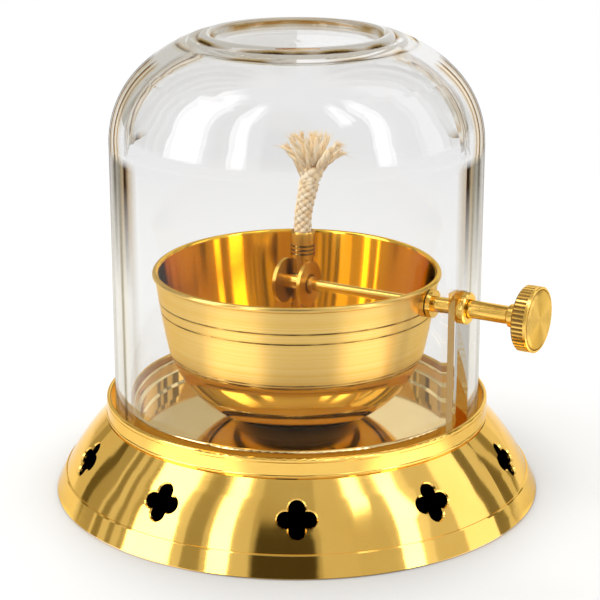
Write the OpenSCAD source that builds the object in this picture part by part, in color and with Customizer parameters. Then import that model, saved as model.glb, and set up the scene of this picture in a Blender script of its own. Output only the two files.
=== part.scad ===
// Akhand diya: a spun brass stand with pierced vents, a dished tray, an oil bowl with a
// knob-driven wick raiser, and a slotted glass dome that lifts off.
// Millimetres, +Z up. The origin is on the lamp's axis, on the surface it stands on.
// The regulator's rod lies along +X.

/* [Stand] */
// Radius of the foot where it stands
foot_r = 80; // [76:0.5:90]
// Height of the foot band
band_h = 6.8; // [5:0.1:9]
// How far the foot band leans in over its height
band_lean = 3; // [1.5:0.1:4.5]
// Width of the flat ring that the foot stands on
foot_lip = 4; // [3:0.25:6]
// Sheet thickness of the spun stand
base_wall = 1.2; // [0.8:0.1:1.6]
// Height of the pierced skirt above the foot band
skirt_rise = 18.4; // [16:0.1:24]
// How far the skirt bulges past a straight cone
skirt_bulge = 0.8; // [0.4:0.1:1.6]
// Step from the foot band in to the skirt
skirt_step = 0.4; // [0.2:0.05:0.8]

/* [Vents] */
// Number of quatrefoil vents round the skirt
vent_count = 10; // [6:1:12]
// Direction of the first vent from the rod, in degrees
vent_turn = 12; // [0:1:36]
// Radius of a vent's lobe
lobe_r = 2.55; // [2:0.05:3.2]
// Distance of a lobe's centre from the vent's centre
lobe_out = 3.55; // [2.8:0.05:4]
// Width of the bevel round a vent
vent_bevel = 0.35; // [0.1:0.05:0.6]
// Height of the vents' centres as a share of the skirt
vent_level = 0.46; // [0.4:0.01:0.55]

/* [Gallery and tray] */
// Height of the gallery collar above the glass seat
collar_h = 5.6; // [4:0.1:9]
// Wall of the gallery collar
collar_wall = 1.4; // [1:0.1:2]
// Gap between the glass and the gallery collar
collar_gap = 1.5; // [0.6:0.1:2.5]
// Depth of the groove at the collar's foot
collar_groove = 0.5; // [0.2:0.05:0.8]
// Sheet thickness of the tray
tray_wall = 1; // [0.7:0.1:1.5]
// Depth of the tray's floor below the glass seat
tray_drop = 2.8; // [2:0.1:5]
// Height of the tray's rim above the glass seat
tray_rim_h = 5.4; // [3.5:0.1:7]
// Step in the tray's wall
tray_step = 1.2; // [0.6:0.1:2]
// Width of the ledge that carries the tray
tray_ledge = 7; // [4:0.5:12]

/* [Glass dome] */
// Outer radius of the glass
glass_r = 59.9; // [55:0.1:64]
// Wall of the glass
glass_wall = 4.8; // [3:0.1:6]
// Height of the straight wall
glass_straight = 89.9; // [80:0.1:110]
// Radius of the shoulder
shoulder_r = 32; // [26:0.5:36]
// Radius of the crown above the shoulder
crown_r = 46; // [42:0.5:56]
// Radius of the ring on the crown
crown_ring_r = 28.9; // [24:0.1:32]
// Radius of the ring's rounding
crown_bead = 2.5; // [2:0.1:3.5]
// Depth of the dish inside the ring
crown_dish = 3.3; // [2.8:0.1:4.5]
// Thickness of the glass under the dish
crown_wall = 4; // [2.5:0.1:5]
// Rounding of the hollow under the crown
hollow_round = 10; // [4:0.5:14]
// Width of the slot for the rod
slot_w = 10.8; // [9:0.1:13]

/* [Oil bowl] */
// Outer radius of the bowl's rim
bowl_r = 47.1; // [44:0.1:50]
// Height of the bowl
bowl_h = 51.4; // [46:0.1:56]
// Sheet thickness of the bowl
bowl_wall = 1.2; // [0.8:0.1:1.6]
// Radius of the rolled rim
rim_bead = 0.95; // [0.7:0.05:1.3]
// Radius of the bowl at its belly line
belly_r = 41.6; // [39:0.1:43]
// Height of the belly line
belly_h = 23.9; // [20:0.1:27]
// Radius of the flat that the bowl stands on
bowl_flat_r = 13; // [9:0.5:18]
// Swell of the bowl below the belly line
bowl_swell = 5.5; // [4.5:0.1:6.5]
// Swell of the bowl's wall above the belly line
wall_swell = 0.3; // [0.1:0.05:0.8]
// Depth of the turned lines on the bowl
line_depth = 0.25; // [0.15:0.05:0.4]

/* [Rod and gland] */
// Depth of the rod's centre below the bowl's rim
rod_drop = 5.5; // [5.2:0.1:9]
// Radius of the rod
rod_r = 1.7; // [1.3:0.05:2]
// Radius of the gland's flanges
gland_r = 4.5; // [4:0.1:5]
// Radius of the gland's gasket
gasket_r = 4.1; // [3.6:0.1:4.6]
// Thickness of the gland's gasket
gasket_t = 0.4; // [0.3:0.05:1]
// Thickness of the bearing tube's flange
tube_flange_t = 1.4; // [1:0.1:2.5]
// Outer radius of the bearing tube
bearing_r = 2.5; // [2.3:0.05:2.8]
// Clearance between the glass slot and the collar in it
slot_fit = 0.3; // [0.2:0.05:0.6]
// Width of the collar in the glass slot
slot_collar_w = 3.7; // [3:0.1:6]
// Width of the retaining collar inside the bowl
retainer_w = 1.6; // [1:0.1:3]
// Outer radius of the retaining collar
retainer_r = 2.8; // [2.3:0.1:3.2]

/* [Knob] */
// Outer radius of the knob
knob_r = 10.3; // [8:0.1:13]
// Width of the knob
knob_w = 5.1; // [4:0.1:8]
// Number of flutes round the knob
flute_count = 46; // [24:1:56]
// Radius of a flute
flute_r = 0.45; // [0.3:0.05:0.7]
// Radius of the knob's hub
hub_r = 3.65; // [3.2:0.05:5]
// Length of the knob's hub
hub_l = 4.7; // [3:0.1:7]
// Outer radius of the shank
shank_r = 2.85; // [2.4:0.05:3]
// Length of the shank outside the slot collar
shank_l = 13.4; // [8:0.1:20]
// Width of the knob's rim round the face disc
knob_rim = 1.1; // [0.8:0.1:2]
// How far the face disc stands proud of the knob
cap_proud = 0.5; // [0.2:0.05:0.8]

/* [Wick raiser] */
// Radius of the wick wheel's cheeks
wheel_r = 7.3; // [6:0.1:8]
// Thickness of a cheek
wheel_t = 1.2; // [0.8:0.1:2]
// Radius of the boss on the near cheek
boss_r = 2.6; // [2.2:0.1:3.5]
// Length of the boss on the near cheek
boss_l = 1.6; // [1:0.1:3]
// Radius of the feed roller
roller_r = 2.35; // [2.1:0.05:2.8]
// Number of serrations round the feed roller
serration_count = 28; // [16:1:32]
// Clearance of the wick in its tube
wick_fit = 0.15; // [0.1:0.05:0.3]
// Wall of the wick tube
tube_wall = 0.45; // [0.3:0.05:0.7]
// Wall of the socket that holds the wick tube
socket_wall = 0.4; // [0.3:0.05:0.8]
// Radius of the socket's flange
socket_flange_r = 7; // [5.5:0.1:9]
// Thickness of the socket's flange
socket_flange_t = 1.5; // [1:0.1:3]
// Radius of the oil ports in the socket and tube
oil_port_r = 1.5; // [1:0.1:2]
// Height of the ferrule
ferrule_h = 8.5; // [6:0.1:12]
// Wall of the ferrule
ferrule_wall = 0.5; // [0.4:0.05:1]
// Clearance of the wick in the ferrule's mouth
mouth_fit = 0.25; // [0.15:0.05:0.4]
// Number of turned grooves on the ferrule
ferrule_grooves = 3; // [1:1:4]

/* [Wick] */
// Radius of the braided wick
wick_r = 2.9; // [2.4:0.05:3.2]
// Distance of the roller's flat from the wick's centre
wick_flat = 1.3; // [0.8:0.1:2]
// Length of braid above the ferrule
wick_free = 20; // [14:0.5:26]
// Sideways lean of the braid's upper end
wick_lean = 3.2; // [0:0.1:5]
// How much the braid loosens towards its frayed end, as a share of its radius
wick_loose = 0.3; // [0:0.05:0.5]
// Radius of a frayed tuft at its root
tuft_r = 1.5; // [1:0.1:1.8]
// Height of the fray above the braid
fray_h = 13.5; // [8:0.5:18]

/* [Clearances] */
// Side clearance between the tray and its well
tray_fit = 0.3; // [0.1:0.05:0.6]
// Side clearance between the tray's rim and the glass
glass_fit = 0.5; // [0.3:0.05:1]
// Clearance of soldered and pressed pieces
seat_gap = 0.02; // [0.01:0.01:0.05]
// Radial clearance of the rod in its bearing
run_gap = 0.05; // [0.02:0.01:0.1]
// Clearance between pieces that pass each other
free_gap = 0.35; // [0.2:0.05:0.5]
// Clearance between the feed roller and the wick
bite_gap = 0.25; // [0.15:0.05:0.4]

/* [Hidden] */
$fn = 96;
far = 400;
brass = "goldenrod";
pale_brass = "khaki";
deep_brass = "darkgoldenrod";

// Heights of the stand
skirt_top_z = band_h + skirt_rise;
glass_seat_z = skirt_top_z + base_wall;
collar_top_z = glass_seat_z + collar_h;
tray_floor_z = glass_seat_z - tray_drop;
tray_ledge_z = tray_floor_z - tray_wall;
tray_rim_z = glass_seat_z + tray_rim_h;

// Radii of the stand, worked out from the glass that it carries
glass_in_r = glass_r - glass_wall;
collar_in_r = glass_r + collar_gap;
collar_out_r = collar_in_r + collar_wall;
tray_rim_r = glass_in_r - glass_fit;
tray_shoulder = 0.2;
tray_well_r = tray_rim_r - tray_step - tray_fit - tray_shoulder;
well_r = tray_well_r + tray_fit;
skirt_ledge = 0.1;
skirt_top_r = collar_out_r + skirt_ledge;
skirt_low_r = foot_r - band_lean - skirt_step;
edge = 0.4;

// Heights of the bowl
bowl_z = tray_floor_z;
rim_z = bowl_z + bowl_h;
belly_z = bowl_z + belly_h;
bead_z = rim_z - rim_bead;
bead_r = bowl_r - rim_bead;
bowl_floor_z = bowl_z + bowl_wall;
belly_step = 0.25;
low_line = 12.5;
line_levels = [bowl_h - 9, bowl_h - 12.4, belly_h + 0.7, belly_h - 0.5, low_line];
rim_tuck = 0.15;

// Radius, side and centre of an arc from p to q that swells past its chord, away from the axis
function arc_radius(p, q, swell) = (pow(norm(q - p), 2) / 4 + pow(swell, 2)) / (2 * swell);
function chord_normal(p, q) = [q.y - p.y, p.x - q.x] / norm(q - p);
function arc_centre(p, q, swell) =
    (p + q) / 2 - chord_normal(p, q) * (arc_radius(p, q, swell) - swell);

skirt_low = [skirt_low_r, band_h];
skirt_high = [skirt_top_r, skirt_top_z];
skirt_arc_r = arc_radius(skirt_low, skirt_high, skirt_bulge);
skirt_centre = arc_centre(skirt_low, skirt_high, skirt_bulge);

belly = [belly_r, belly_z];
wall_low = [belly_r + belly_step, belly_z];
wall_high = [bead_r + rim_tuck, bead_z];
wall_arc_r = arc_radius(wall_low, wall_high, wall_swell);
wall_centre = arc_centre(wall_low, wall_high, wall_swell);
bowl_foot = [bowl_flat_r, bowl_z];
bowl_arc_r = arc_radius(bowl_foot, belly, bowl_swell);
bowl_centre = arc_centre(bowl_foot, belly, bowl_swell);

// Outer radius of the bowl's wall at a height
function wall_radius(z) = wall_centre.x + sqrt(pow(wall_arc_r, 2) - pow(z - wall_centre.y, 2));
function belly_radius(z) = bowl_centre.x + sqrt(pow(bowl_arc_r, 2) - pow(z - bowl_centre.y, 2));
function bowl_radius(z) = z < belly_z ? belly_radius(z) : wall_radius(z);

// Stations along the rod
rod_z = rim_z - rod_drop;
wall_x = wall_radius(rod_z);
bush_stand = 1.35;
spigot_in = 1.1;
spigot_wall = 0.9;
bush_face_x = wall_x + bush_stand;
bush_in_x = wall_x - bowl_wall - spigot_in;
gasket_x = bush_face_x;
tube_flange_x = gasket_x + gasket_t;
flange_r = gland_r - 0.1;
collar_set = 1.4;
slot_collar_r = slot_w / 2 - slot_fit;
slot_collar_x = glass_r - collar_set;
slot_collar_end_x = slot_collar_x + slot_collar_w;
counterbore = 0.8;
spigot_r = bearing_r + spigot_wall;
shank_x = slot_collar_end_x - counterbore + free_gap;
hub_x = slot_collar_end_x + shank_l;
knob_x = hub_x + hub_l;
knob_end_x = knob_x + knob_w;
knob_lip = 0.8;
cap_sink = 0.9;
cap_groove = 0.35;
cap_bevel = 0.7;
lip_edge = 0.2;
cap_r = knob_r - knob_rim;
end_play = 0.3;
rod_short = 1.5;
retainer_x = bush_in_x - end_play - retainer_w;
rod_end_x = knob_end_x - cap_sink - rod_short;

// Crown of the dome
shoulder_centre = [glass_r - shoulder_r, glass_seat_z + glass_straight];
crown_centre = shoulder_centre - (crown_r - shoulder_r) * [cos(45), sin(45)];
ring_reach = crown_r - crown_bead;
ring_z = crown_centre.y + sqrt(pow(ring_reach, 2) - pow(crown_ring_r - crown_centre.x, 2));
crown_top_z = ring_z + crown_bead;
dish_z = crown_top_z - crown_dish;
dish_lip = 0.3;
dish_rise = ring_z + dish_lip - dish_z;
dish_r = (pow(crown_ring_r - crown_bead, 2) + pow(dish_rise, 2)) / (2 * dish_rise);
dish_centre = [0, dish_z + dish_r];
ceiling_r = dish_r + crown_wall;

// Point at given distances from two centres, on the side away from the axis
function meet(p, q, from_p, from_q) =
    let (
        span = norm(q - p),
        along = (pow(from_p, 2) - pow(from_q, 2) + pow(span, 2)) / (2 * span),
        aside = sqrt(pow(from_p, 2) - pow(along, 2)))
    p + (q - p) * along / span + chord_normal(p, q) * aside;

// Centre of the rounding that joins the hollow's ceiling to its shoulder
round_centre = meet(crown_centre, dish_centre, crown_r - glass_wall - hollow_round,
    ceiling_r + hollow_round);

// Wick raiser
tube_y = roller_r + bite_gap + wick_flat;
tube_bore_r = wick_r + wick_fit;
tube_r = tube_bore_r + tube_wall;
cheek_x = tube_r + free_gap;
socket_r = tube_r + seat_gap + socket_wall;
wheel_clear = 0.65;
socket_top_z = rod_z - wheel_r - wheel_clear;
ferrule_z = rod_z + wheel_r + wheel_clear;
ferrule_top_z = ferrule_z + ferrule_h;
ferrule_r = tube_r + seat_gap + ferrule_wall;
ferrule_lip = 1.5;
ferrule_mouth_r = wick_r + mouth_fit;
tube_top_z = ferrule_top_z - ferrule_lip;
tube_lift = 0.3;
port_lift = 1.2;
oil_port_z = bowl_floor_z + socket_flange_t + oil_port_r + port_lift;
rod_stub = 0.3;
serration_depth = 0.15;
serration_w = 4;

// Wick
wick_lift = 9;
press_reach = 8;
press_fade = 0.5;
wick_foot_z = bowl_floor_z + wick_lift;
wick_press_z = rod_z + roller_r + press_reach;
braid_top_z = ferrule_top_z + wick_free;
wick_sides = 16;
tuft_sides = 8;
wick_bands = 6;
tuft_bands = 5;
lean_turn = 30;
lean_power = 1.7;
tuft_root = 2;
tuft_taper = 0.5;
tuft_bend = [0.15, 0.3, 0.45];
// Ends of the frayed tufts: across the lean, into depth, and share of the fray's height
tuft_ends = [[-8.5, 1, 0.72], [-5, -3, 0.94], [-1, 3, 1], [1.5, -2.5, 0.95], [4, 2, 1],
    [7.3, -1, 0.98], [12, 2, 0.77], [13, -1.5, 0.4]];

// Turns what is drawn along +Z to lie along the rod, from a station x
module along_rod(x) {
    translate([x, 0, rod_z]) rotate([0, 90, 0]) children();
}

// A ring or disc on the rod
module rod_disc(x, r, length, bore) {
    along_rod(x) difference() {
        cylinder(r = r, h = length);
        translate([0, 0, -1]) cylinder(r = bore, h = length + 2);
    }
}

// Foot band with the flat lip that it stands on
module foot_ring() {
    top_r = foot_r - band_lean;
    seat_w = skirt_step + 2 * base_wall;
    color(brass) rotate_extrude() polygon([
        [foot_r - foot_lip, 0], [foot_r - edge, 0], [foot_r, edge], [top_r + edge / 2, band_h - edge],
        [top_r - edge / 4, band_h], [top_r - seat_w, band_h], [foot_r - foot_lip + base_wall, base_wall],
        [foot_r - foot_lip, base_wall]]);
}

// Convex skirt, pierced by a ring of bevelled quatrefoils
module pierced_skirt() {
    color(brass) difference() {
        rotate_extrude() intersection() {
            translate(skirt_centre) difference() {
                circle(r = skirt_arc_r, $fn = 360);
                circle(r = skirt_arc_r - base_wall, $fn = 360);
            }
            translate([skirt_top_r - 3 * base_wall, band_h]) square([foot_r, skirt_rise]);
        }
        for (i = [0 : vent_count - 1])
            rotate([0, 0, vent_turn + i * 360 / vent_count]) vent();
    }
}

// One quatrefoil cutter, square to the skirt, with the slopes of its bevel
module vent() {
    low = atan2(skirt_low.y - skirt_centre.y, skirt_low.x - skirt_centre.x);
    high = atan2(skirt_high.y - skirt_centre.y, skirt_high.x - skirt_centre.x);
    lift = low + (high - low) * vent_level;
    spot = skirt_centre + skirt_arc_r * [cos(lift), sin(lift)];
    reach = lobe_out + lobe_r;
    sink = reach * reach / (2 * spot.x) + vent_bevel;
    proud = 0.5;
    flare_r = lobe_r + sink + proud;
    translate([spot.x, 0, spot.y]) rotate([0, 90 - lift, 0]) {
        translate([0, 0, -3 * base_wall]) linear_extrude(5 * base_wall) {
            square(2 * [lobe_out, lobe_r], center = true);
            square(2 * [lobe_r, lobe_out], center = true);
            for (a = [0 : 90 : 270]) rotate(a) translate([lobe_out, 0]) circle(r = lobe_r);
        }
        for (a = [0 : 90 : 270]) rotate(a) translate([lobe_out, 0, -sink])
            cylinder(r1 = lobe_r, r2 = flare_r, h = sink + proud);
        for (a = [90, 180]) rotate([90, 0, a]) linear_extrude(2 * lobe_out, center = true) polygon([
            [-lobe_r, -sink], [lobe_r, -sink], [flare_r, proud], [-flare_r, proud]]);
    }
}

// Gallery: the collar round the glass, the seat of the glass and the ledge of the tray
module gallery_ring() {
    groove_r = collar_out_r - collar_groove;
    ledge_r = well_r - tray_ledge;
    under_z = tray_ledge_z - base_wall;
    brim_z = collar_top_z - collar_wall / 2;
    bead_h = 1.1;
    line_r = 0.18;
    color(brass) rotate_extrude() difference() {
        union() {
            polygon([
                [ledge_r, under_z], [well_r + base_wall, under_z],
                [well_r + base_wall, skirt_top_z], [groove_r, skirt_top_z],
                [groove_r, skirt_top_z + collar_groove], [collar_out_r, skirt_top_z + collar_groove],
                [collar_out_r, brim_z], [collar_in_r, brim_z], [collar_in_r, glass_seat_z],
                [well_r, glass_seat_z], [well_r, tray_ledge_z], [ledge_r, tray_ledge_z]]);
            translate([collar_out_r - collar_wall / 2, brim_z]) circle(r = collar_wall / 2, $fn = 48);
            translate([collar_out_r - bead_h / 4, skirt_top_z + collar_groove + bead_h / 2])
                circle(r = bead_h / 2, $fn = 48);
        }
        translate([collar_out_r, collar_top_z - collar_wall]) circle(r = line_r, $fn = 24);
    }
}

// Dished tray that rests on the gallery's ledge
module drip_tray() {
    in_r = tray_well_r - tray_wall;
    step_h = 4;
    step_z = tray_floor_z + step_h;
    bead = tray_wall * 0.6;
    round_in = 0.8;
    color(pale_brass) rotate_extrude() {
        polygon([
            [0, tray_ledge_z], [tray_well_r - round_in, tray_ledge_z],
            [tray_well_r, tray_ledge_z + round_in], [tray_well_r, step_z],
            [tray_rim_r - bead / 2, step_z + tray_step / 2],
            [tray_rim_r, tray_rim_z - bead], [tray_rim_r - tray_wall, tray_rim_z - bead],
            [tray_rim_r - tray_wall - bead / 2, step_z + tray_step], [in_r, step_z + tray_step / 2],
            [in_r, tray_floor_z + round_in], [in_r - round_in, tray_floor_z], [0, tray_floor_z]]);
        translate([tray_rim_r - bead, tray_rim_z - bead]) circle(r = bead, $fn = 48);
    }
}

// Half section of the bowl's body, drawn inwards by inset
module bowl_section(inset) {
    intersection() {
        union() {
            translate(bowl_centre) circle(r = bowl_arc_r - inset, $fn = 360);
            square([bowl_flat_r, belly_z]);
        }
        translate([0, bowl_z + inset]) square([far, belly_h - inset]);
    }
    intersection() {
        translate(wall_centre) circle(r = wall_arc_r - inset, $fn = 720);
        translate([0, belly_z]) square([far, bead_z - belly_z + (inset > 0 ? far : 0)]);
    }
}

// Space that the bowl fills outside, for pieces shaped to its wall
module bowl_space(gap) {
    rotate_extrude() {
        bowl_section(-gap);
        translate([bead_r, bead_z]) circle(r = rim_bead + gap, $fn = 48);
    }
}

// Spun oil bowl with a rolled rim, turned lines and a hole for the gland
module oil_bowl() {
    color(brass) difference() {
        rotate_extrude() difference() {
            union() {
                difference() {
                    bowl_section(0);
                    bowl_section(bowl_wall);
                }
                translate([bead_r, bead_z]) circle(r = rim_bead, $fn = 48);
            }
            for (level = line_levels)
                translate([bowl_radius(bowl_z + level), bowl_z + level]) circle(r = line_depth, $fn = 24);
        }
        along_rod(wall_x - 3 * bowl_wall) cylinder(r = spigot_r + seat_gap, h = 6 * bowl_wall);
    }
}

// Bush soldered into the bowl's wall, its flange shaped to the wall
module bowl_bush() {
    overlap = 2 * bowl_wall;
    color(deep_brass) difference() {
        union() {
            difference() {
                along_rod(wall_x - overlap) cylinder(r = gland_r, h = bush_stand + overlap);
                bowl_space(seat_gap);
            }
            along_rod(bush_in_x) cylinder(r = spigot_r, h = bush_face_x - bush_in_x);
        }
        along_rod(bush_in_x - 1) cylinder(r = bearing_r + seat_gap, h = bush_face_x - bush_in_x + 2);
    }
}

// Fibre washer between the bush and the bearing tube
module bush_gasket() {
    color("black") rod_disc(gasket_x, gasket_r, gasket_t, bearing_r + seat_gap);
}

// Bearing tube that screws into the bush, with its wrench flange
module bearing_tube() {
    tube_end_x = slot_collar_end_x - counterbore;
    color(deep_brass) difference() {
        union() {
            along_rod(bush_in_x) cylinder(r = bearing_r, h = tube_end_x - bush_in_x);
            along_rod(tube_flange_x) cylinder(r = flange_r, h = tube_flange_t);
        }
        along_rod(bush_in_x - 1) cylinder(r = rod_r + run_gap, h = tube_end_x - bush_in_x + 2);
    }
}

// Collar on the tube's end that fills the glass slot
module slot_collar() {
    round_over = 0.4;
    length = slot_collar_w;
    color(deep_brass) along_rod(slot_collar_x) rotate_extrude() polygon([
        [bearing_r + seat_gap, 0], [slot_collar_r - round_over, 0], [slot_collar_r, round_over],
        [slot_collar_r, length - round_over], [slot_collar_r - round_over, length],
        [shank_r + free_gap, length], [shank_r + free_gap, length - counterbore],
        [bearing_r + seat_gap, length - counterbore]]);
}

// Thin wick tube, open to the roller through a window
module wick_tube() {
    bottom = bowl_floor_z + tube_lift;
    color(brass) difference() {
        translate([0, tube_y, bottom]) difference() {
            cylinder(r = tube_r, h = tube_top_z - bottom);
            translate([0, 0, -1]) cylinder(r = tube_bore_r, h = far);
        }
        along_rod(-2 * tube_r) cylinder(r = roller_r + free_gap, h = 4 * tube_r);
        oil_ports();
    }
}

// Cross holes that let the oil in to the wick
module oil_ports() {
    translate([0, tube_y, oil_port_z]) rotate([0, 90, 0])
        cylinder(r = oil_port_r, h = 4 * socket_r, center = true);
}

// Socket on the bowl's floor that carries the wick tube
module tube_socket() {
    color(brass) difference() {
        translate([0, tube_y, bowl_floor_z]) difference() {
            union() {
                cylinder(r = socket_flange_r, h = socket_flange_t);
                cylinder(r = socket_r, h = socket_top_z - bowl_floor_z);
            }
            translate([0, 0, -1]) cylinder(r = tube_r + seat_gap, h = far);
        }
        oil_ports();
    }
}

// Grooved ferrule on the tube's mouth
module wick_ferrule() {
    groove_step = 1.3;
    groove_r = 0.25;
    round_over = 0.4;
    color(brass) translate([0, tube_y, ferrule_z]) rotate_extrude() difference() {
        polygon([
            [tube_r + seat_gap, 0], [ferrule_r, 0], [ferrule_r, ferrule_h - round_over],
            [ferrule_r - round_over, ferrule_h], [ferrule_mouth_r, ferrule_h],
            [ferrule_mouth_r, ferrule_h - ferrule_lip], [tube_r + seat_gap, ferrule_h - ferrule_lip]]);
        for (i = [1 : ferrule_grooves])
            translate([ferrule_r, i * groove_step]) circle(r = groove_r, $fn = 24);
    }
}

// Rod that carries the wick wheel inside and the knob outside
module drive_shaft() {
    start = -cheek_x - wheel_t - rod_stub;
    color(deep_brass) along_rod(start) cylinder(r = rod_r, h = rod_end_x - start);
}

// Collar that keeps the rod from being drawn out
module retaining_collar() {
    color(deep_brass) rod_disc(retainer_x, retainer_r, retainer_w, rod_r + seat_gap);
}

// Near cheek of the wick wheel, with its boss
module wheel_near() {
    color(deep_brass) along_rod(cheek_x) difference() {
        union() {
            cylinder(r = wheel_r, h = wheel_t);
            cylinder(r = boss_r, h = wheel_t + boss_l);
        }
        translate([0, 0, -1]) cylinder(r = rod_r + seat_gap, h = wheel_t + boss_l + 2);
    }
}

// Far cheek of the wick wheel
module wheel_far() {
    color(deep_brass) rod_disc(-cheek_x - wheel_t, wheel_r, wheel_t, rod_r + seat_gap);
}

// Feed roller that grips the wick, serrated across the middle
module feed_roller() {
    pitch = 360 / serration_count;
    half = roller_r * sin(pitch / 3);
    color(brass) difference() {
        rod_disc(-cheek_x, roller_r, 2 * cheek_x, rod_r + seat_gap);
        along_rod(-serration_w / 2) linear_extrude(serration_w)
            for (i = [0 : serration_count - 1]) rotate(i * pitch)
                polygon([[roller_r - serration_depth, 0], [roller_r + serration_depth, -half],
                    [roller_r + serration_depth, half]]);
    }
}

// Shank between the slot collar and the knob's hub
module knob_shank() {
    color(deep_brass) rod_disc(shank_x, shank_r, hub_x - shank_x, rod_r + seat_gap);
}

// Fluted knob turned with its hub, recessed for the face disc
module knob() {
    chamfer = 0.5;
    flute_rise = 0.1;
    flute_start = hub_l - 1;
    flute_l = knob_w - knob_lip + 0.8;
    color(brass) along_rod(hub_x) difference() {
        rotate_extrude() polygon([
            [rod_r + seat_gap, 0], [hub_r - chamfer, 0], [hub_r, chamfer], [hub_r, hub_l],
            [knob_r - chamfer, hub_l], [knob_r, hub_l + chamfer], [knob_r, hub_l + knob_w - lip_edge],
            [knob_r - lip_edge, hub_l + knob_w], [cap_r + cap_groove, hub_l + knob_w],
            [cap_r + cap_groove, hub_l + knob_w - cap_sink],
            [rod_r + seat_gap, hub_l + knob_w - cap_sink]]);
        for (i = [0 : flute_count - 1]) rotate(i * 360 / flute_count)
            translate([knob_r + flute_rise, 0, flute_start]) cylinder(r = flute_r, h = flute_l, $fn = 24);
    }
}

// Spun face disc set into the knob
module knob_cap() {
    face = cap_sink + cap_proud;
    color(pale_brass) along_rod(knob_end_x - cap_sink) rotate_extrude() polygon([
        [0, 0], [cap_r, 0], [cap_r, cap_sink], [cap_r - cap_bevel, face], [0, face]]);
}

// Sweeps rings of points into one closed solid
module swept(rings) {
    sides = len(rings[0]);
    count = len(rings);
    points = [for (ring = rings) each ring];
    bands = [for (k = [0 : count - 2]) for (i = [0 : sides - 1])
        let (j = (i + 1) % sides, a = k * sides + i, b = k * sides + j)
        each [[a, a + sides, b], [b, a + sides, b + sides]]];
    first = [for (i = [1 : sides - 2]) [0, i, i + 1]];
    top = (count - 1) * sides;
    last = [for (i = [1 : sides - 2]) [top, top + i + 1, top + i]];
    polyhedron(points, concat(bands, first, last));
}

// Lean of the wick at a height, growing from the ferrule's mouth
function lean_at(z) =
    z < ferrule_top_z ? 0 : wick_lean * pow((z - ferrule_top_z) / wick_free, lean_power);

// Radius of the braid at a height, loosening above the ferrule
function braid_r(z) = wick_r * (1 + wick_loose * pow(max(0, z - ferrule_top_z) / wick_free, 2));

// Ring of the braid at a height: pressed flat towards the roller below the ferrule
function braid_ring(z) = [for (i = [0 : wick_sides - 1])
    let (a = i * 360 / wick_sides, r = braid_r(z), flat = z < wick_press_z ? wick_flat : r, lean = lean_at(z))
    [r * cos(a) + lean * cos(lean_turn),
        tube_y + max(r * sin(a), -flat) + lean * sin(lean_turn), z]];

// Ring of a tuft, a share t of the way from the braid to the tuft's end
function tuft_ring(end, t) =
    let (
        root = [lean_at(braid_top_z), 0, braid_top_z - tuft_root],
        reach = [end.x, end.y, fray_h * end.z],
        foot = [root.x, 0, braid_top_z],
        tip = foot + reach,
        rise = [for (i = [0 : 2]) foot[i] + reach[i] * tuft_bend[i]],
        spot = root * pow(1 - t, 2) + rise * 2 * t * (1 - t) + tip * pow(t, 2),
        r = tuft_r * (1 - tuft_taper * t))
    [for (i = [0 : tuft_sides - 1])
        let (a = i * 360 / tuft_sides, p = spot + [r * cos(a), r * sin(a), 0])
        [p.x * cos(lean_turn) - p.y * sin(lean_turn),
            tube_y + p.x * sin(lean_turn) + p.y * cos(lean_turn), p.z]];

// Braided wick, its free end frayed into tufts
module wick() {
    levels = concat([wick_foot_z, wick_press_z - press_fade, wick_press_z + press_fade],
        [for (k = [0 : wick_bands]) ferrule_top_z + wick_free * k / wick_bands]);
    color("antiquewhite") union() {
        swept([for (z = levels) braid_ring(z)]);
        for (end = tuft_ends) swept([for (k = [0 : tuft_bands]) tuft_ring(end, k / tuft_bands)]);
    }
}

// Half section of the dome's body, drawn inwards by inset
module dome_section(inset, low) {
    wall_r = glass_r - inset;
    spring = [wall_r, shoulder_centre.y];
    join = shoulder_centre + (shoulder_r - inset) * [cos(45), sin(45)];
    top = crown_centre + [0, crown_r - inset];
    polygon([[0, low], [wall_r, low], spring, join, top, [0, top.y]]);
    intersection() {
        translate(shoulder_centre) circle(r = shoulder_r - inset, $fn = 180);
        polygon([shoulder_centre, shoulder_centre + [far, 0], shoulder_centre + [far, far]]);
    }
    intersection() {
        translate(crown_centre) circle(r = crown_r - inset, $fn = 180);
        polygon([crown_centre, crown_centre + [far, far], crown_centre + [0, far]]);
    }
}

// Half section of the space inside the dome, with a rounded edge to its ceiling
module dome_hollow() {
    side = (round_centre - crown_centre) / norm(round_centre - crown_centre);
    up = (dish_centre - round_centre) / norm(dish_centre - round_centre);
    reach = 3 * hollow_round;
    difference() {
        dome_section(glass_wall, glass_seat_z - 1);
        translate(dish_centre) circle(r = ceiling_r, $fn = 720);
        difference() {
            polygon([round_centre, round_centre + reach * side, round_centre + reach * (side + up),
                round_centre + reach * up]);
            translate(round_centre) circle(r = hollow_round, $fn = 180);
        }
    }
}

// Glass dome: straight wall, rounded shoulder, ringed crown, slot for the rod
module glass_dome() {
    color("lightblue", 0.4) difference() {
        rotate_extrude() difference() {
            union() {
                difference() {
                    dome_section(0, glass_seat_z);
                    translate(dish_centre) circle(r = dish_r, $fn = 360);
                    translate([0, ring_z]) square([crown_ring_r, far]);
                }
                translate([crown_ring_r, ring_z]) circle(r = crown_bead, $fn = 48);
            }
            dome_hollow();
        }
        along_rod(glass_r / 2) cylinder(r = slot_w / 2, h = glass_r);
        translate([glass_r / 2, -slot_w / 2, glass_seat_z - 1])
            cube([glass_r, slot_w, rod_z - glass_seat_z + 1]);
    }
}

foot_ring();
pierced_skirt();
gallery_ring();
drip_tray();
oil_bowl();
bowl_bush();
bush_gasket();
bearing_tube();
slot_collar();
wick_tube();
tube_socket();
wick_ferrule();
drive_shaft();
retaining_collar();
wheel_near();
wheel_far();
feed_roller();
knob_shank();
knob();
knob_cap();
wick();
glass_dome();
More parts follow.
